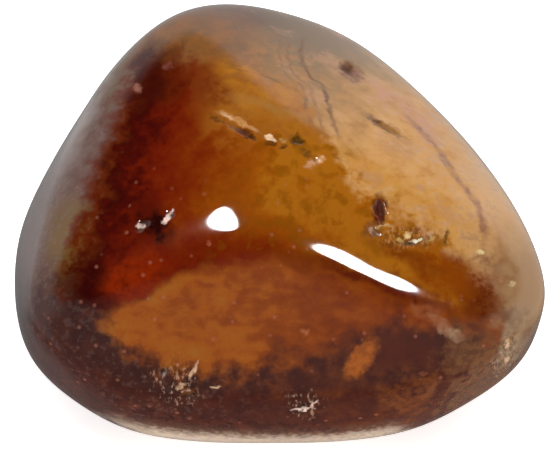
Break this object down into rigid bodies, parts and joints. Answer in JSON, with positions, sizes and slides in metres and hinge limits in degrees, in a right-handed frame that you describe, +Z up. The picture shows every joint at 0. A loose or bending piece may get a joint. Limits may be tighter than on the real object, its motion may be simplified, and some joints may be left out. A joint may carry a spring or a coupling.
{
  "type": "onyx pebble",
  "caption": "Tumble-polished onyx pebble, a rounded triangle with worn flats, soft ridges and small pits, in banded amber, red-brown and tan.",
  "frame": {"origin": "on the resting surface, below the middle of the stone's box as seen from above", "axes": "+X to the right as the picture shows it, along the stone's length; +Y away from the viewer; +Z up"},
  "size_m": [0.03, 0.0252, 0.0196],
  "materials": {
    "onyx": "polished"
  },
  "bodies": {
    "root": {"pebble": "onyx"}
  },
  "joints": []
}
